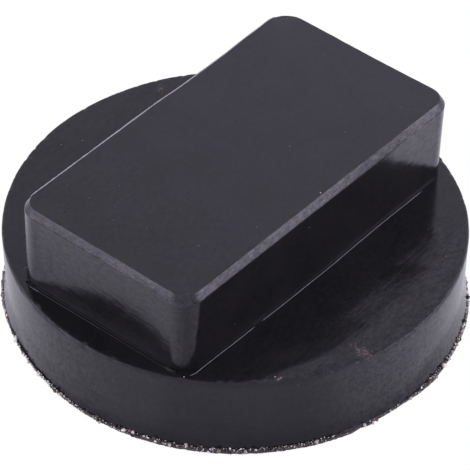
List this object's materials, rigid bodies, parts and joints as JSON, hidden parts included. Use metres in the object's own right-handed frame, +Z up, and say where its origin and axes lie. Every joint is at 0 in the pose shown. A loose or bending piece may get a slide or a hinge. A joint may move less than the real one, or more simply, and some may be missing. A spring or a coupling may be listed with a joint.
{
  "type": "rubber jack pad",
  "caption": "Round black rubber pad with a raised rectangular boss, placed between a jack's saddle and the jacking socket under a car's sill.",
  "frame": {"origin": "centre of the flat underside, on the disc's axis", "axes": "+Z up through the boss, the boss is long along X and narrow along Y"},
  "size_m": [0.0702, 0.0701, 0.0272],
  "materials": {
    "rubber": "smooth black moulded rubber with a soft gloss, a trimmed and ragged lower edge, fine dust and light scuffs"
  },
  "bodies": {
    "root": {"jack_pad": "rubber"}
  },
  "joints": []
}
